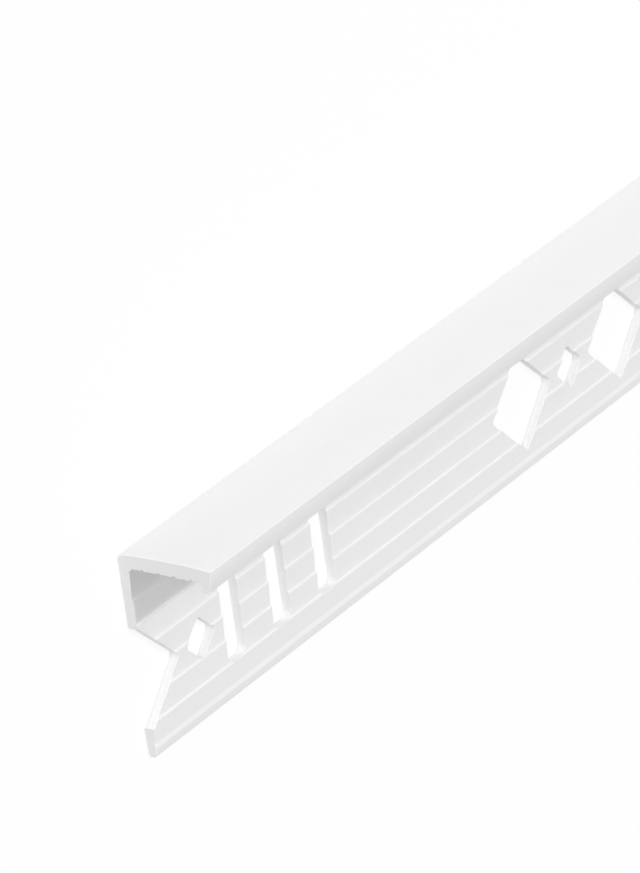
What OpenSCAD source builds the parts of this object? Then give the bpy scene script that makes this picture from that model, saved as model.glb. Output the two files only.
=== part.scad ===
// Edge trim for wall tiles: one extruded strip of white rigid plastic with a square outer edge.
// The perforated leg beds in the adhesive under the tiles. The upright strip covers their cut edge,
// and its lip laps over the face of the tile.
// X runs along the trim. The leg's underside lies on Z = 0, and the covering strip stands on the -Y side.
// In the section, points are [distance from the covering strip's outer face, height above the underside].

/* [Stock] */
// Length of the trim
length = 1830; // [300:10:3000]
// Width of the leg, from the covering strip's outer face to the free edge
leg_w = 25; // [21:0.5:40]
// Height of the covering strip, from the leg's underside to the lip's outer face
height = 12.5; // [9:0.5:16]

/* [Walls] */
// Thickness of the leg where it is thickest
leg_t = 1.3; // [1:0.05:2]
// Thickness of the covering strip at its long edges
strip_t = 1.45; // [1:0.05:1.8]
// Rise of the covering strip's convex outer face at its middle
crown = 0.25; // [0.1:0.05:0.5]
// Power of the convex face's curve: 2 is an even bow, more keeps the middle flatter
crown_power = 3; // [2:0.5:4]
// Radius of the outer corner between the covering strip and the underside
heel_r = 0.75; // [0.2:0.05:1]
// Radius of the outer corner between the covering strip and the lip
corner_r = 0.1; // [0.1:0.05:0.3]
// Radius of the fillet between the leg and the covering strip
fillet_r = 0.6; // [0.2:0.05:1]

/* [Lip] */
// Thickness of the lip at its tip
lip_t = 0.7; // [0.6:0.05:1.2]
// Reach of the lip over the channel, from the covering strip's inner face to its tip
lip_reach = 1.3; // [1.1:0.05:2.5]
// Lean of the lip's outer face towards the channel where it starts, in degrees
lip_lean = 7; // [2:0.5:10]
// Turn of the lip's bowed outer face from its start to its tip, in degrees
lip_turn = 14; // [4:1:16]
// Radius of the tip's outer edge
lip_nose_r = 0.3; // [0.1:0.05:0.4]
// Radius of the tip's inner edge
lip_edge_r = 0.2; // [0.05:0.05:0.25]
// Radius of the fillet behind the lip
lip_fillet_r = 0.4; // [0.1:0.05:0.45]

/* [Steps of the leg] */
// Distance between the steps along the leg's inner face
step_pitch = 3; // [2:0.1:5]
// Height of each step
step_h = 0.2; // [0.05:0.01:0.3]
// Width of each step's steep flank, which faces the covering strip
step_w = 0.13; // [0.05:0.01:0.3]
// Distance of the last step from the free edge
step_edge = 4.4; // [3:0.1:6]
// Width of the bead along the free edge
bead_w = 1.8; // [1.4:0.05:2.5]
// Rise of the bead above the leg's inner face beside it
bead_h = 0.1; // [0.05:0.01:0.2]
// Width of that rise
bead_rise_w = 0.6; // [0.2:0.05:0.7]
// Fall of the bead's top towards the free edge
bead_fall = 0.1; // [0.02:0.01:0.15]

/* [Notches of the covering strip] */
// Distance between the notches along the covering strip's inner face
notch_pitch = 2.15; // [1.5:0.05:4]
// Depth of each notch
notch_d = 0.25; // [0.1:0.05:0.4]
// Width of each notch
notch_w = 0.5; // [0.3:0.05:1]

/* [Holes] */
// Side of the large square holes, which stand on a corner
large_side = 8.9; // [6:0.1:10]
// Side of the small square hole that follows each large one
small_side = 3.8; // [2:0.1:5]
// Corner radius of the square holes
square_r = 0.5; // [0.2:0.05:0.8]
// Width of the slots
slot_w = 3.3; // [2.5:0.1:5]
// Length of the slots, across the leg
slot_l = 10.8; // [8:0.1:12]
// Corner radius of the slots
slot_r = 1; // [0.3:0.05:1.2]
// Number of slots in each group
slot_n = 3; // [2:1:4]

/* [Plain widths] */
// Between the large square holes and the leg's free edge, where the row keeps to its line
edge_web = 3; // [2:0.1:6]
// Between a large square hole and the small one beside it
square_web = 1.4; // [0.8:0.1:4]
// Between a small square hole and the first slot
slot_web = 1.5; // [0.8:0.1:4]
// Between neighbouring slots
slot_gap = 5.5; // [2:0.1:10]
// Between the last slot and the next large square hole
plain_w = 33.3; // [5:0.1:80]
// How far the row strays to either side of its line, from one stroke of the punch to the next
wander = 0.4; // [0:0.05:0.8]

/* [Hidden] */
// Straight pieces in each rounded corner of the section, and in its convex outer face
arc_n = 6;
crown_n = 10;
// Straight pieces in a full turn of the holes' corners
hole_fn = 32;
// Reach of the punched holes past the faces of the leg
punch_over = 1;

// Section
inner_v = crown + strip_t;
lip_v = inner_v + lip_reach;
lip_steep = lip_lean + lip_turn;
heel = [crown_v(heel_r) + heel_r, heel_r];
lip_corner = [crown_v(height - corner_r) + corner_r, height - corner_r];
bow_start = lip_corner + corner_r * outward(lip_lean);
bow_v = lip_v - lip_nose_r * (1 - sin(lip_steep)) - bow_start[0];
bow_r = bow_v / (sin(lip_steep) - sin(lip_lean));
bow = bow_start - bow_r * outward(lip_lean);
lip_nose = bow + (bow_r - lip_nose_r) * outward(lip_steep);
lip_under = outward(lip_steep) * lip_nose + lip_nose_r - lip_t;
lip_edge = leaning(lip_v - lip_edge_r, lip_under + lip_edge_r);
lip_fillet = leaning(inner_v + lip_fillet_r, lip_under - lip_fillet_r);
low_t = leg_t - step_h;
bead_t = low_t + bead_h;
bead_tip_r = (bead_t - bead_fall) / 2;
last_step = leg_w - step_edge;
step_n = round((last_step - inner_v - fillet_r) / step_pitch);
notch_low = leg_t + fillet_r + notch_w / 2;
notch_high = lip_fillet[1] - notch_w / 2;
notch_n = round((notch_high - notch_low) / notch_pitch);

// Row of holes, counted along the trim from its +X end, which cuts through a large square hole.
// Each stroke of the punch makes a large and a small hole, the same again, and a group of slots.
large_half = large_side / sqrt(2);
small_half = small_side / sqrt(2);
slot_pitch = slot_w + slot_gap;
small_at = large_half + square_web + small_half;
slot_at = small_at + small_half + slot_web + slot_w / 2;
next_large = slot_at + (slot_n - 1) * slot_pitch + slot_w / 2 + plain_w + large_half;
repeat = next_large + 2 * small_at;
strokes = floor(length / repeat) + 2;
row_v = leg_w - edge_web - large_half;

// Distance of the convex outer face from its highest line, at height s
function crown_v(s) = crown * pow(abs(2 * s / height - 1), crown_power);

// Points of an arc about c from angle a to angle b, from its first or second point on
function arc(c, r, a, b, first = 0) =
    [for (i = [first:arc_n]) let (t = a + (b - a) * i / arc_n) c + r * [cos(t), sin(t)]];

// Direction that leans from straight up towards the free edge by an angle
function outward(angle) = [sin(angle), cos(angle)];

// Point at v on the line that runs along the lip's tip at a distance in its outward direction
function leaning(v, distance) = [v, (distance - sin(lip_steep) * v) / cos(lip_steep)];

// Points of one step of the leg
function step(v) = [[v, low_t], [v + step_w, leg_t]];

// Points of one notch in the covering strip's inner face, from the lip downwards
function notch(s) = [
    [inner_v, s + notch_w / 2],
    [inner_v - notch_d, s],
    [inner_v, s - notch_w / 2]
];

function outer_face() = let (run = height - heel_r - corner_r) concat(
    arc(heel, heel_r, 270, 180),
    [for (i = [1:crown_n - 1]) let (s = heel_r + run * i / crown_n) [crown_v(s), s]],
    arc(lip_corner, corner_r, 180, 90)
);

function lip() = concat(
    arc(bow, bow_r, 90 - lip_lean, 90 - lip_steep),
    arc(lip_nose, lip_nose_r, 90 - lip_steep, 0, 1),
    arc(lip_edge, lip_edge_r, 0, -90 - lip_steep),
    arc(lip_fillet, lip_fillet_r, 90 - lip_steep, 180)
);

function channel_wall() = let (middle = (notch_low + notch_high) / 2) concat(
    [for (i = [0:notch_n - 1], p = notch(middle + ((notch_n - 1) / 2 - i) * notch_pitch)) p],
    arc([inner_v + fillet_r, leg_t + fillet_r], fillet_r, 180, 270)
);

function leg_face() = concat(
    [for (i = [step_n - 1:-1:0], p = step(last_step - i * step_pitch)) p],
    [[leg_w - bead_w, low_t], [leg_w - bead_w + bead_rise_w, bead_t]],
    arc([leg_w - bead_tip_r, bead_tip_r], bead_tip_r, 90, -90)
);

module section() {
    polygon(concat(outer_face(), lip(), channel_wall(), leg_face()));
}

// Rectangle with rounded corners, centred on the origin
module rounded_rectangle(w, h, r) {
    square([w - 2 * r, h], center = true);
    square([w, h - 2 * r], center = true);
    for (x = [-1, 1], y = [-1, 1])
        translate([x * (w / 2 - r), y * (h / 2 - r)])
            circle(r, $fn = hole_fn);
}

// Square hole on its corner
module square_hole(side) {
    rotate(45)
        rounded_rectangle(side, side, square_r);
}

// One large square hole and the small one that follows it
module square_pair() {
    square_hole(large_side);
    translate([-small_at, 0])
        square_hole(small_side);
}

// Outlines of the holes of one stroke, along -X from its first large hole
module stroke() {
    square_pair();
    translate([-2 * small_at, 0])
        square_pair();
    for (k = [0:slot_n - 1])
        translate([-2 * small_at - slot_at - k * slot_pitch, 0])
            rounded_rectangle(slot_w, slot_l, slot_r);
}

// Outlines of all the holes in the leg, seen from above
module hole_row() {
    for (k = [0:strokes - 1]) {
        u = next_large + (k - 1) * repeat;
        side = k % 2 == 0 ? -1 : 1;
        translate([length / 2 - u, row_v + side * wander - leg_w / 2])
            stroke();
    }
}

module trim_strip() {
    color("WhiteSmoke")
        difference() {
            translate([-length / 2, -leg_w / 2, 0])
                rotate([90, 0, 90])
                    linear_extrude(length)
                        section();
            translate([0, 0, -punch_over])
                linear_extrude(leg_t + 2 * punch_over)
                    hole_row();
        }
}

trim_strip();
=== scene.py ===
"""White plastic edge trim for wall tiles, dressed in the frame of its solid.

The section is drawn with finer curves than the solid's, and its steps and notches have softened edges.
The punch has rolled in the rims of the holes and flared their lower ends, and the saw has left burrs.
It is one closed mesh, swept along X.
Lengths are in millimetres until they reach a mesh or the camera, and angles are in degrees.
In the section, v is the distance from the covering strip's outer face and s the height above the leg's
underside. Along the trim, u is the distance from the +X end.
"""
import math
import random
from typing import NamedTuple

import bmesh
import bpy
import numpy as np
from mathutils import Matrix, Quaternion, Vector
from mathutils.geometry import delaunay_2d_cdt


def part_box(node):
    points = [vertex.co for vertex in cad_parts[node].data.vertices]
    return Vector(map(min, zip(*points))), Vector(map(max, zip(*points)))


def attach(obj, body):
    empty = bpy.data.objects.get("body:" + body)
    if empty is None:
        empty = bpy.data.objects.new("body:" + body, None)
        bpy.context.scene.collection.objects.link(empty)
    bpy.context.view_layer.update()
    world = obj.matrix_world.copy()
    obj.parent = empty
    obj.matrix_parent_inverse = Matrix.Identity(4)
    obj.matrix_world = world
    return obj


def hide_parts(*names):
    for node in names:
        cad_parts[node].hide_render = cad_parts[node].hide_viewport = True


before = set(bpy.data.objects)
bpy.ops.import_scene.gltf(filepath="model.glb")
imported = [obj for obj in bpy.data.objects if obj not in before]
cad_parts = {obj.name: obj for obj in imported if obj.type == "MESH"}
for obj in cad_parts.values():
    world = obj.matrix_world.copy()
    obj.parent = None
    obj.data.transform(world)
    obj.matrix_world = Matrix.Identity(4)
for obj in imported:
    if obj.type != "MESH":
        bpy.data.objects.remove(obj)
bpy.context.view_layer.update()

MM = 0.001

# Overall sizes, from the frame
LOW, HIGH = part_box("trim_strip")
LENGTH, LEG_W, HEIGHT = (round((b - a) / MM, 3) for a, b in zip(LOW, HIGH))

# Section, as in the solid
LEG_T = 1.3
STRIP_T = 1.45
CROWN = 0.25
CROWN_POWER = 3
CORNER_R = 0.1
HEEL_R = 0.75
FILLET_R = 0.6
LIP_T = 0.7
LIP_REACH = 1.3
LIP_LEAN = 7
LIP_TURN = 14
LIP_NOSE_R = 0.3
LIP_EDGE_R = 0.2
LIP_FILLET_R = 0.4
STEP_PITCH = 3
STEP_H = 0.2
STEP_W = 0.13
STEP_EDGE = 4.4
BEAD_W = 1.8
BEAD_H = 0.1
BEAD_RISE_W = 0.6
BEAD_FALL = 0.1
NOTCH_PITCH = 2.15
NOTCH_D = 0.25
NOTCH_W = 0.5

# Holes, as in the solid
LARGE_SIDE = 8.9
SMALL_SIDE = 3.8
SQUARE_R = 0.5
SQUARE_TURN = 45
SLOT_W = 3.3
SLOT_L = 10.8
SLOT_R = 1
SLOT_N = 3
EDGE_WEB = 3
SQUARE_WEB = 1.4
SLOT_WEB = 1.5
SLOT_GAP = 5.5
PLAIN_W = 33.3
WANDER = 0.4

# Finish of the edges
SOFTEN = 0.07         # reach of the softening on each side of a step's or notch's edge
SOFTEN_SHARE = 0.45   # most of a short piece that the softening of one of its ends takes up
SOFTEN_N = 2          # straight pieces in a softened edge
RIM_W = 0.1           # width of the hole rims that the punch rolls in
RIM_D = 0.08          # depth of those rims
RIM_N = 3             # straight pieces across a rim
RIM_CLEAR = 0.15      # plain margin between the rims and the rest of the leg
BREAK_H = 0.35        # height over which the holes flare where the punch breaks out below
BREAK_W = 0.1         # how far they flare
BURR = 0.15           # greatest height of the burrs along the sawn ends
BURR_POWER = 2        # more makes high burrs rarer
BURR_REACH = 0.25     # length of the trim that carries them
BURR_SEED = 4
WORN = 0.08           # depth to which the saw has worn the outer edge of the ends

# Fineness of the mesh
ARC_N = 10
HOLE_ARC_N = 6
CROWN_N = 40
POINT_GAP = 0.4       # widest gap between the points of the channel's faces
WELD = 0.001          # points closer than this are one
FLAT_WELD = 0.0001    # the same while a face is cut into triangles
EDGE_REACH = 0.01     # points closer than this to a hole's edge lie on it
SLIDE_N = 4           # tries that find where the flared holes cross a joint

# Derived places in the section
INNER_V = CROWN + STRIP_T
LIP_V = INNER_V + LIP_REACH
LOW_T = LEG_T - STEP_H
BEAD_T = LOW_T + BEAD_H
BEAD_R = (BEAD_T - BEAD_FALL) / 2
LAST_STEP = LEG_W - STEP_EDGE
STEP_N = round((LAST_STEP - INNER_V - FILLET_R) / STEP_PITCH)

# Derived places along the row of holes
LARGE_HALF = LARGE_SIDE / math.sqrt(2)
SMALL_HALF = SMALL_SIDE / math.sqrt(2)
SLOT_PITCH = SLOT_W + SLOT_GAP
SMALL_AT = LARGE_HALF + SQUARE_WEB + SMALL_HALF
SLOT_AT = SMALL_AT + SMALL_HALF + SLOT_WEB + SLOT_W / 2
PLAIN_AT = SLOT_AT + (SLOT_N - 1) * SLOT_PITCH + SLOT_W / 2
NEXT_LARGE = PLAIN_AT + PLAIN_W + LARGE_HALF
REPEAT = NEXT_LARGE + 2 * SMALL_AT
REPEATS = int(LENGTH / REPEAT)
ROW_V = LEG_W - EDGE_WEB - LARGE_HALF

# The band of the leg that holds all the holes, and the distances along it at which its patches meet
BAND_LOW = ROW_V - WANDER - LARGE_HALF - RIM_W - RIM_CLEAR
BAND_HIGH = ROW_V + WANDER + LARGE_HALF + RIM_W + RIM_CLEAR
PLAIN_MIDDLES = [PLAIN_AT + PLAIN_W / 2 + i * REPEAT for i in range(REPEATS)]
JOINTS = [0, *PLAIN_MIDDLES, LENGTH]
STATIONS = [0, BURR_REACH, *PLAIN_MIDDLES, LENGTH - BURR_REACH, LENGTH]

# Faces of the mesh by how they were made
EXTRUDED, SAWN, PUNCHED = range(3)


class Finish(NamedTuple):
    """Looks of one kind of face."""

    name: str
    grain: tuple        # marks per metre along each axis
    relief: float       # height of the marks
    roughness: tuple    # least and most
    tones: tuple        # darkest and lightest


# Looks of the plastic, with the finishes in the order of the kinds of face
FINISHES = (
    Finish("extruded", (12, 3500, 3500), 0.0015, (0.3, 0.42), (0.855, 0.875)),
    Finish("sawn", (400, 5000, 900), 0.02, (0.5, 0.65), (0.83, 0.86)),
    # The punched faces' tones are lighter than the extruded ones as painted light: it stands in for light
    # that reaches the hole walls from below.
    Finish("punched", (3000, 3000, 100), 0.015, (0.4, 0.55), (0.9, 0.93)),
)
IOR = 1.53
MARK_DETAIL = 3
CLOUD_GRAIN = 220           # soft clouds per metre, which lie under the marks
CLOUD_DETAIL = 4
MIXED_RANGE = (0.6, 1.4)    # values of marks and clouds together that span the tones

# Sockets of a shader node that mixes colours
MIX_A, MIX_B, MIX_RESULT = 6, 7, 2

# Camera: what it looks at, from where, and how it is turned
AIM_U = 37.83
AIM_Y = -8.865
DISTANCE = 661.45
AZIMUTH = 59.625
ELEVATION = 34.129
ROLL = 100.02
LENS = 243.96
SENSOR = 36
CLIP = (0.01, 100)    # metres

# Light, as the brightness that each source gives a white surface that faces it
SKY_LEVEL = 0.36
SKY_SIDE = (0, -1, 0)
SKY_LEAN = 0.7        # share by which the sky is brighter on that side, and darker on the other
KEY_LEVEL = 0.35
KEY_FROM = (0, -0.475, 0.88)
KEY_SPREAD = 5
TOP_LEVEL = 0.07
TOP_FROM = (0, -0.23, 0.973)
TOP_SPREAD = 5
END_LEVEL = 0.34
END_FROM = (0.74, -0.27, 0.62)
END_SPREAD = 30

# Floor
FLOOR_HALF = 80       # metres
FLOOR_DROP = 0.05     # just under the leg, so that the two faces don't fight
FLOOR_COLOR = 0.9
FLOOR_GLOW = 0.85     # share of plain white in the floor as the camera sees it


def crown_v(s):
    """Distance of the convex outer face from its highest line, at height s."""
    return CROWN * abs(2 * s / HEIGHT - 1) ** CROWN_POWER


def arc(centre, radius, start, end):
    """Points of an arc in the section, from one angle to another in degrees."""
    angles = [math.radians(start + (end - start) * i / ARC_N) for i in range(ARC_N + 1)]
    return [(centre[0] + radius * math.cos(a), centre[1] + radius * math.sin(a)) for a in angles]


def soften(points):
    """The open line with a small curve in place of each inner corner."""
    out = [points[0]]
    for before, corner, after in zip(points, points[1:], points[2:]):
        before, corner, after = (np.array(p, float) for p in (before, corner, after))
        to_before, to_after = before - corner, after - corner
        long_before, long_after = np.linalg.norm(to_before), np.linalg.norm(to_after)
        reach = min(SOFTEN, SOFTEN_SHARE * long_before, SOFTEN_SHARE * long_after)
        start = corner + reach * to_before / long_before
        end = corner + reach * to_after / long_after
        for i in range(SOFTEN_N + 1):
            t = i / SOFTEN_N
            out.append(tuple((1 - t) ** 2 * start + 2 * t * (1 - t) * corner + t * t * end))
    return out + [points[-1]]


def divide(points):
    """The open line with more points on its long pieces."""
    out = [points[0]]
    for a, b in zip(points, points[1:]):
        n = max(1, math.ceil(math.dist(a, b) / POINT_GAP))
        out += [tuple(np.array(a) + (np.array(b) - a) * i / n) for i in range(1, n + 1)]
    return out


def outward(angle):
    """Direction in the section that leans from straight up towards the leg's free edge, in degrees."""
    return np.array((math.sin(math.radians(angle)), math.cos(math.radians(angle))))


def leaning(v, distance, angle):
    """The point at v on the line that lies at a distance along its outward direction."""
    return v, (distance - outward(angle)[0] * v) / outward(angle)[1]


def covering_strip():
    """Convex face with the outer side of the lip, the lip's inner side, and the height where that ends."""
    heel = (crown_v(HEEL_R) + HEEL_R, HEEL_R)
    corner = (crown_v(HEIGHT - CORNER_R) + CORNER_R, HEIGHT - CORNER_R)
    steep = LIP_LEAN + LIP_TURN
    start = corner + CORNER_R * outward(LIP_LEAN)
    reach = LIP_V - LIP_NOSE_R * (1 - outward(steep)[0]) - start[0]
    bow_r = reach / (outward(steep)[0] - outward(LIP_LEAN)[0])
    bow = start - bow_r * outward(LIP_LEAN)
    nose = bow + (bow_r - LIP_NOSE_R) * outward(steep)
    under = outward(steep) @ nose + LIP_NOSE_R - LIP_T
    edge = leaning(LIP_V - LIP_EDGE_R, under + LIP_EDGE_R, steep)
    fillet = leaning(INNER_V + LIP_FILLET_R, under - LIP_FILLET_R, steep)
    rises = [HEEL_R + (HEIGHT - HEEL_R - CORNER_R) * i / CROWN_N for i in range(1, CROWN_N)]
    outside = (
        arc(heel, HEEL_R, 270, 180)
        + [(crown_v(s), s) for s in rises]
        + arc(corner, CORNER_R, 180, 90)
        + arc(bow, bow_r, 90 - LIP_LEAN, 90 - steep)
        + arc(nose, LIP_NOSE_R, 90 - steep, 0)[1:]
    )
    inside = arc(edge, LIP_EDGE_R, 0, -90 - steep) + arc(fillet, LIP_FILLET_R, 90 - steep, 180)
    return outside, inside, fillet[1]


def channel_wall(top):
    """Inner face of the covering strip with its notches, from the lip's fillet down to the leg's."""
    high = top - NOTCH_W / 2
    low = LEG_T + FILLET_R + NOTCH_W / 2
    n = round((high - low) / NOTCH_PITCH)
    points = [(INNER_V, top)]
    for i in range(n):
        s = (low + high) / 2 + ((n - 1) / 2 - i) * NOTCH_PITCH
        points += [(INNER_V, s + NOTCH_W / 2), (INNER_V - NOTCH_D, s), (INNER_V, s - NOTCH_W / 2)]
    points.append((INNER_V, LEG_T + FILLET_R))
    return soften(points)[1:-1] + arc((INNER_V + FILLET_R, LEG_T + FILLET_R), FILLET_R, 180, 270)


def leg_face():
    """Inner face of the leg with its steps, from the fillet to the top of the bead."""
    points = [(INNER_V + FILLET_R, LEG_T)]
    for i in range(STEP_N - 1, -1, -1):
        v = LAST_STEP - i * STEP_PITCH
        points += [(v, LOW_T), (v + STEP_W, LEG_T)]
    points += [(LEG_W - BEAD_W, LOW_T), (LEG_W - BEAD_W + BEAD_RISE_W, BEAD_T)]
    points.append((LEG_W - BEAD_R, BEAD_T - BEAD_FALL))
    return soften(points)


LEG_FACE = np.array(leg_face())


def leg_height(v):
    """Height of the leg's inner face, away from the holes."""
    return np.interp(v, LEG_FACE[:, 0], LEG_FACE[:, 1])


class Hole(NamedTuple):
    """A rectangle with round corners, turned about its centre."""

    u: float
    v: float
    half_u: float
    half_v: float
    corner_r: float
    turn: float

    def cos_sin(self):
        """Cosine and sine of the turn."""
        return math.cos(math.radians(self.turn)), math.sin(math.radians(self.turn))


def square(u, v, side):
    """A square hole that stands on one of its corners."""
    return Hole(u, v, side / 2, side / 2, SQUARE_R, SQUARE_TURN)


def holes():
    """Every hole that meets the trim, stroke by stroke of the punch."""
    found = []
    for stroke in range(REPEATS + 2):
        first = NEXT_LARGE + (stroke - 1) * REPEAT
        v = ROW_V + WANDER * (1 if stroke % 2 else -1)
        for u in (first, first + 2 * SMALL_AT):
            found += [square(u, v, LARGE_SIDE), square(u + SMALL_AT, v, SMALL_SIDE)]
        for k in range(SLOT_N):
            u = first + 2 * SMALL_AT + SLOT_AT + k * SLOT_PITCH
            found.append(Hole(u, v, SLOT_W / 2, SLOT_L / 2, SLOT_R, 0))
    return [hole for hole in found if -LARGE_HALF < hole.u < LENGTH + LARGE_HALF]


def clearance(points, hole):
    """Distance of points [u, v] from a hole's edge, negative inside it."""
    du, dv = points[:, 0] - hole.u, points[:, 1] - hole.v
    cos, sin = hole.cos_sin()
    across = np.abs(du * cos + dv * sin) - (hole.half_u - hole.corner_r)
    along = np.abs(dv * cos - du * sin) - (hole.half_v - hole.corner_r)
    outside = np.hypot(np.maximum(across, 0), np.maximum(along, 0))
    return outside + np.minimum(np.maximum(across, along), 0) - hole.corner_r


def away(points, hole):
    """Directions in which points move straight away from a hole's edge."""
    steps = WELD * np.eye(2)
    rises = [clearance(points + step, hole) - clearance(points - step, hole) for step in steps]
    return np.stack(rises, axis=1) / (2 * WELD)


def flared(points, near, on_joint):
    """The points as they lie on the underside, where holes are wider, and which are on a hole's edge."""
    foot = points.copy()
    on_edge = np.zeros(len(points), bool)
    for hole in near:
        gap = clearance(points, hole)
        edge = abs(gap) < EDGE_REACH
        on_edge |= edge
        foot[edge & ~on_joint] += BREAK_W * away(points[edge & ~on_joint], hole)
        slide = on_joint & (gap < BREAK_W)
        for _ in range(SLIDE_N):
            short = BREAK_W - clearance(foot[slide], hole)
            foot[slide, 1] += short / away(foot[slide], hole)[:, 1]
    return foot, on_edge


def rim_drop(points, near):
    """How far the rolled rims of the holes lie below the leg's face, at points [u, v]."""
    gaps = [clearance(points, hole) for hole in near]
    nearest = np.min([np.full(len(points), RIM_W), *gaps], axis=0)
    share = np.clip(1 - nearest / RIM_W, 0, 1)
    return RIM_D * (1 - np.sqrt(1 - share ** 2))


def ring(hole, grow):
    """Points of a hole's outline, grown by a distance."""
    cos, sin = hole.cos_sin()
    radius = hole.corner_r + grow
    points = []
    for quarter, (a, b) in enumerate(((1, 1), (-1, 1), (-1, -1), (1, -1))):
        for i in range(HOLE_ARC_N + 1):
            t = math.radians(90) * (quarter + i / HOLE_ARC_N)
            x = a * (hole.half_u - hole.corner_r) + radius * math.cos(t)
            y = b * (hole.half_v - hole.corner_r) + radius * math.sin(t)
            points.append((hole.u + x * cos - y * sin, hole.v + x * sin + y * cos))
    return points


def within(points, outline):
    """Which points lie inside a convex outline that runs counter-clockwise."""
    corners = np.array(outline)
    sides = np.roll(corners, -1, axis=0) - corners
    reach = points[:, None] - corners
    return (sides[:, 0] * reach[..., 1] > sides[:, 1] * reach[..., 0]).all(axis=1)


def enclosed(points, segments):
    """Which points lie inside the loops of the segments, and so have an odd number of them on one side."""
    (u_a, v_a), (u_b, v_b) = segments[:, 0].T, segments[:, 1].T
    u, v = points[:, :1], points[:, 1:]
    level = (v_a > v) != (v_b > v)
    turn = (u_b - u_a) * (v - v_a) - (v_b - v_a) * (u - u_a)
    return (level & ((turn > 0) == (v_b > v_a))).sum(axis=1) % 2 == 1


def level_of(values, levels):
    """The level on which each value lies. Off the levels it is not a number, which equals nothing."""
    return np.select([abs(values - level) < WELD for level in levels], levels, math.nan)


def triangulate(points, edges, u0, u1, inside):
    """Points and triangles between the edges from u0 to u1, as far as their middles pass the test."""
    local = [Vector((u - u0, v)) for u, v in points]
    found, _, faces, *_ = delaunay_2d_cdt(local, edges, [], 0, FLAT_WELD)
    found = np.array([(p.x + u0, p.y) for p in found])
    faces = np.array(faces)
    on_joint = abs(found[:, :1] - (u0, u1)) < WELD
    keep = inside(found[faces].mean(axis=1)) & ~on_joint[faces].all(axis=1).any(axis=1)
    used, faces = np.unique(faces[keep], return_inverse=True)
    return found[used], faces.reshape(-1, 3)


def outer_edges(faces):
    """Edges that belong to one triangle only."""
    edges = np.sort(np.concatenate([faces[:, [0, 1]], faces[:, [1, 2]], faces[:, [2, 0]]]), axis=1)
    edges, count = np.unique(edges, axis=0, return_counts=True)
    return edges[count == 1]


class Skin:
    """Points and faces of the mesh, gathered patch by patch."""

    def __init__(self):
        self.points = []
        self.faces = []
        self.kinds = []

    def add(self, points, faces, kind):
        first = len(self.points)
        self.points += [tuple(p) for p in points]
        self.faces += [tuple(first + int(i) for i in f) for f in faces]
        self.kinds += [kind] * len(faces)


def band_corners(u0, u1):
    """Points in which the band between two joints meets the corners of the swept faces beside it."""
    return [(u, v) for u in STATIONS if u0 <= u <= u1 for v in (BAND_LOW, BAND_HIGH)]


def band_lines(u0, u1, near):
    """Points and edges that divide the band's face: the edges of its steps and the rims of its holes."""
    levels = [BAND_LOW, *(v for v in LEG_FACE[:, 0] if BAND_LOW < v < BAND_HIGH), BAND_HIGH]
    points = [(u, v) for v in levels for u in (u0, u1)]
    edges = [(2 * i, 2 * i + 1) for i in range(len(levels))]
    edges += [(2 * i + side, 2 * i + side + 2) for i in range(len(levels) - 1) for side in (0, 1)]
    for hole in near:
        for i in range(RIM_N + 1):
            outline = ring(hole, RIM_W * (1 - math.cos(math.radians(90) * i / RIM_N)))
            first, n = len(points), len(outline)
            edges += [(first + k, first + (k + 1) % n) for k in range(n)]
            points += outline
    return points + band_corners(u0, u1), edges


def add_walls(skin, sides, top, waist, foot, joint):
    """The walls of the holes under the sides of the band's face, and the sawn faces at the trim's ends.

    Points on a hole's edge have a waist, where the flare starts.
    """
    for a, b in sides:
        if joint[a] != joint[b]:
            wall = [top[a], top[b], *waist[b], foot[b], *waist[a], foot[a]]
            skin.add(wall, [(0, 1, 2, 4), (4, 2, 3, 5)], PUNCHED)
        elif joint[a] in (0, LENGTH):
            wall = [top[a], top[b], *waist[b], foot[b], foot[a], *waist[a]]
            skin.add(wall, [range(len(wall))], SAWN)


def add_underside(skin, u0, u1, sides):
    """The underside of the band between two joints, within its long edges and the sides given."""
    points = band_corners(u0, u1)
    edges = [(i, i + 2) for i in range(len(points) - 2)]
    for a, b in sides:
        if math.dist(a, b) > WELD:
            edges.append((len(points), len(points) + 1))
            points += [tuple(a), tuple(b)]
    loops = np.array(points)[edges]
    flat, faces = triangulate(points, edges, u0, u1, lambda middles: enclosed(middles, loops))
    skin.add(np.c_[flat, np.zeros(len(flat))], faces, EXTRUDED)


def add_band(skin, u0, u1, all_holes):
    """The perforated band of the leg between two joints: both faces, and the walls of its holes."""
    reach = LARGE_HALF + RIM_W
    near = [hole for hole in all_holes if u0 - reach < hole.u < u1 + reach]

    def on_leg(middles):
        clear = (middles > (u0, BAND_LOW)).all(axis=1) & (middles < (u1, BAND_HIGH)).all(axis=1)
        for hole in near:
            clear &= ~within(middles, ring(hole, 0))
        return clear

    flat, faces = triangulate(*band_lines(u0, u1, near), u0, u1, on_leg)
    top = np.c_[flat, leg_height(flat[:, 1]) - rim_drop(flat, near)]
    skin.add(top, faces, EXTRUDED)
    joint = level_of(flat[:, 0], (u0, u1))
    long_edge = level_of(flat[:, 1], (BAND_LOW, BAND_HIGH))
    sides = np.array([(a, b) for a, b in outer_edges(faces) if long_edge[a] != long_edge[b]])
    foot, on_edge = flared(flat, near, ~np.isnan(joint))
    waist = [[(*point, BREAK_H)] if edge else [] for point, edge in zip(flat, on_edge)]
    add_walls(skin, sides, top, waist, np.c_[foot, np.zeros(len(foot))], joint)
    add_underside(skin, u0, u1, foot[sides])


def burred(points, inner, rng):
    """The section's line at a sawn end, with burrs on its inner faces and a worn outer edge."""
    line = np.array(points, float)
    way = np.gradient(line, axis=0)
    out = np.c_[-way[:, 1], way[:, 0]] / np.linalg.norm(way, axis=1)[:, None]
    height = np.array([BURR * rng.random() ** BURR_POWER if flag else -WORN for flag in inner])
    height[0] = height[-1] = 0
    return line + out * height[:, None]


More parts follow.
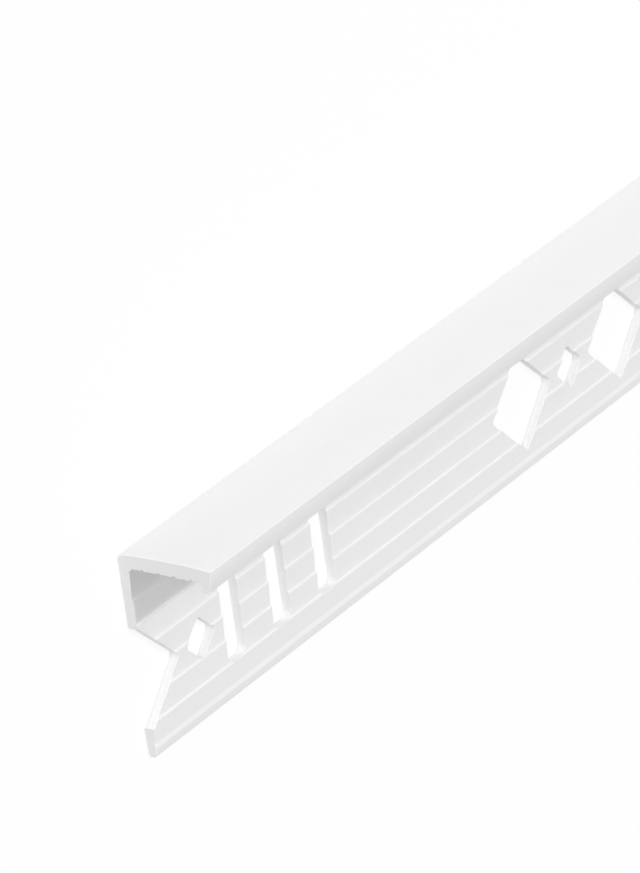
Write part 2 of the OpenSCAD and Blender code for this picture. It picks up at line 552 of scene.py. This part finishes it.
def add_sweep(skin, points, inner):
    """One open line of the section swept along the trim, with its sawn ends closed."""
    rng = random.Random(BURR_SEED)
    rows = []
    for u in STATIONS:
        line = burred(points, inner, rng) if u in (0, LENGTH) else np.array(points, float)
        rows.append(np.c_[np.full(len(line), u), line])
    n = len(points)
    quads = [
        (r * n + i, r * n + i + 1, (r + 1) * n + i + 1, (r + 1) * n + i)
        for r in range(len(rows) - 1)
        for i in range(n - 1)
    ]
    skin.add(np.concatenate(rows), quads, EXTRUDED)
    for row in (rows[0], rows[-1]):
        skin.add(row, [range(n)], SAWN)


def trim_skin():
    """All patches of the trim."""
    outside, lip_inside, wall_top = covering_strip()
    before = [tuple(p) for p in LEG_FACE if p[0] < BAND_LOW]
    after = [tuple(p) for p in LEG_FACE if p[0] > BAND_HIGH]
    inside = divide(lip_inside + channel_wall(wall_top) + before[1:] + [(BAND_LOW, leg_height(BAND_LOW))])
    strip = [(BAND_LOW, 0), *outside, *inside]
    strip_inner = [False] * (1 + len(outside)) + [True] * len(inside)
    bead = [(BAND_HIGH, leg_height(BAND_HIGH)), *after]
    bead += arc((LEG_W - BEAD_R, BEAD_R), BEAD_R, 90, -90)[1:] + [(BAND_HIGH, 0)]
    skin = Skin()
    add_sweep(skin, strip, strip_inner)
    add_sweep(skin, bead, [False] * len(bead))
    all_holes = holes()
    for u0, u1 in zip(JOINTS, JOINTS[1:]):
        add_band(skin, u0, u1, all_holes)
    return skin


def make_trim():
    """The trim as one closed mesh in the frame of the solid."""
    skin = trim_skin()
    u, v, s = np.array(skin.points).T
    points = np.c_[HIGH.x - u * MM, LOW.y + v * MM, LOW.z + s * MM]
    mesh = bpy.data.meshes.new("trim")
    mesh.from_pydata(points.tolist(), [], skin.faces)
    mesh.polygons.foreach_set("material_index", skin.kinds)
    shape = bmesh.new()
    shape.from_mesh(mesh)
    bmesh.ops.remove_doubles(shape, verts=shape.verts, dist=WELD * MM)
    bmesh.ops.triangulate(shape, faces=[f for f in shape.faces if len(f.verts) > 4])
    bmesh.ops.recalc_face_normals(shape, faces=shape.faces)
    shape.to_mesh(mesh)
    shape.free()
    trim = bpy.data.objects.new("trim", mesh)
    bpy.context.scene.collection.objects.link(trim)
    return trim


def grey(level):
    """A colour without hue."""
    return (level, level, level, 1)


def add_node(tree, kind, inputs, **settings):
    """A shader node with its settings, and its inputs set or linked by name or number."""
    made = tree.nodes.new(kind)
    for name, value in settings.items():
        setattr(made, name, value)
    for key, value in inputs.items():
        if isinstance(value, bpy.types.NodeSocket):
            tree.links.new(value, made.inputs[key])
        else:
            made.inputs[key].default_value = value
    return made


def add_noise(tree, place, scale, detail):
    """Noise at a place."""
    inputs = {"Vector": place, "Scale": scale, "Detail": detail}
    return add_node(tree, "ShaderNodeTexNoise", inputs).outputs["Fac"]


def map_range(tree, value, before, after):
    """A value carried over from one range to another, and kept within it."""
    ends = {"From Min": before[0], "From Max": before[1], "To Min": after[0], "To Max": after[1]}
    return add_node(tree, "ShaderNodeMapRange", {"Value": value, **ends}).outputs[0]


def white_plastic(finish):
    """White rigid plastic, with marks and clouds in its tone, gloss and relief."""
    material = bpy.data.materials.new(finish.name)
    material.use_nodes = True
    tree = material.node_tree
    shader = tree.nodes["Principled BSDF"]
    shader.inputs["IOR"].default_value = IOR
    place = add_node(tree, "ShaderNodeTexCoord", {}).outputs["Object"]
    stretched = add_node(tree, "ShaderNodeMapping", {"Vector": place, "Scale": finish.grain})
    marks = add_noise(tree, stretched.outputs["Vector"], 1, MARK_DETAIL)
    clouds = add_noise(tree, place, CLOUD_GRAIN, CLOUD_DETAIL)
    mixed = add_node(tree, "ShaderNodeMath", {0: marks, 1: clouds}, operation="ADD").outputs[0]
    share = map_range(tree, mixed, MIXED_RANGE, (0, 1))
    darkest, lightest = (grey(tone) for tone in finish.tones)
    blend = {"Factor": share, MIX_A: darkest, MIX_B: lightest}
    color = add_node(tree, "ShaderNodeMix", blend, data_type="RGBA").outputs[MIX_RESULT]
    tree.links.new(color, shader.inputs["Base Color"])
    tree.links.new(map_range(tree, share, (0, 1), finish.roughness), shader.inputs["Roughness"])
    relief = {"Height": mixed, "Strength": 1, "Distance": finish.relief * MM}
    bump = add_node(tree, "ShaderNodeBump", relief)
    tree.links.new(bump.outputs["Normal"], shader.inputs["Normal"])
    return material


def seen_directly(tree):
    """1 for rays from the camera, and for what it sees by reflection or through glass."""
    path = add_node(tree, "ShaderNodeLightPath", {}).outputs
    seen = path["Is Camera Ray"]
    for name in ("Is Glossy Ray", "Is Transmission Ray"):
        seen = add_node(tree, "ShaderNodeMath", {0: seen, 1: path[name]}, operation="MAXIMUM").outputs[0]
    return seen


def pale_floor():
    """A pale surface that looks nearly white and keeps the shadow of what lies on it."""
    material = bpy.data.materials.new("floor")
    material.use_nodes = True
    tree = material.node_tree
    tree.nodes.remove(tree.nodes["Principled BSDF"])
    pale = add_node(tree, "ShaderNodeBsdfDiffuse", {"Color": grey(FLOOR_COLOR)}).outputs[0]
    white = add_node(tree, "ShaderNodeBsdfDiffuse", {"Color": grey(1)}).outputs[0]
    glow = add_node(tree, "ShaderNodeEmission", {"Color": grey(1), "Strength": 1}).outputs[0]
    shown = add_node(tree, "ShaderNodeMixShader", {0: FLOOR_GLOW, 1: white, 2: glow}).outputs[0]
    mixed = add_node(tree, "ShaderNodeMixShader", {0: seen_directly(tree), 1: pale, 2: shown}).outputs[0]
    tree.links.new(mixed, tree.nodes["Material Output"].inputs["Surface"])
    return material


def make_floor():
    """A wide floor just under the trim."""
    mesh = bpy.data.meshes.new("floor")
    z = LOW.z - FLOOR_DROP * MM
    corners = [(x * FLOOR_HALF, y * FLOOR_HALF, z) for x, y in ((-1, -1), (1, -1), (1, 1), (-1, 1))]
    mesh.from_pydata(corners, [], [(0, 1, 2, 3)])
    mesh.materials.append(pale_floor())
    floor = bpy.data.objects.new("floor", mesh)
    bpy.context.scene.collection.objects.link(floor)


def make_world():
    """A pale sky that is brighter on the covering strip's side, and looks white."""
    world = bpy.data.worlds.new("sky")
    world.use_nodes = True
    tree = world.node_tree
    sky = tree.nodes["Background"]
    sky.inputs["Color"].default_value = grey(1)
    way = add_node(tree, "ShaderNodeTexCoord", {}).outputs["Generated"]
    side = add_node(tree, "ShaderNodeVectorMath", {0: way, 1: SKY_SIDE}, operation="DOT_PRODUCT")
    levels = (SKY_LEVEL * (1 - SKY_LEAN), SKY_LEVEL * (1 + SKY_LEAN))
    light = map_range(tree, side.outputs["Value"], (-1, 1), levels)
    tree.links.new(map_range(tree, seen_directly(tree), (0, 1), (light, 1)), sky.inputs["Strength"])
    bpy.context.scene.world = world


def make_lamp(name, level, come_from, spread):
    """A soft lamp far away, which gives a white surface that faces it the brightness level."""
    lamp = bpy.data.lights.new(name, "SUN")
    lamp.energy = level * math.pi
    lamp.angle = math.radians(spread)
    placed = bpy.data.objects.new(name, lamp)
    placed.rotation_euler = Vector(come_from).to_track_quat("Z", "Y").to_euler()
    bpy.context.scene.collection.objects.link(placed)


def make_camera():
    """The photograph's view of the +X end, with the trim running up to the right."""
    data = bpy.data.cameras.new("camera")
    data.lens = LENS
    data.sensor_width = SENSOR
    data.clip_start, data.clip_end = CLIP
    camera = bpy.data.objects.new("camera", data)
    bpy.context.scene.collection.objects.link(camera)
    azimuth, elevation = math.radians(AZIMUTH), math.radians(ELEVATION)
    level = math.cos(elevation)
    back = Vector((math.sin(azimuth) * level, -math.cos(azimuth) * level, math.sin(elevation)))
    aim = Vector((HIGH.x - AIM_U * MM, AIM_Y * MM, LOW.z))
    camera.location = aim + back * DISTANCE * MM
    camera.rotation_mode = "QUATERNION"
    turn = Quaternion((0, 0, 1), math.radians(ROLL))
    camera.rotation_quaternion = (-back).to_track_quat("-Z", "Y") @ turn
    bpy.context.scene.camera = camera


bpy.context.scene.view_settings.view_transform = "Standard"
make_camera()
make_floor()
make_world()
make_lamp("key", KEY_LEVEL, KEY_FROM, KEY_SPREAD)
make_lamp("top", TOP_LEVEL, TOP_FROM, TOP_SPREAD)
make_lamp("end", END_LEVEL, END_FROM, END_SPREAD)
trim = make_trim()
for finish in FINISHES:
    trim.data.materials.append(white_plastic(finish))
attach(trim, "root")
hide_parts("trim_strip")
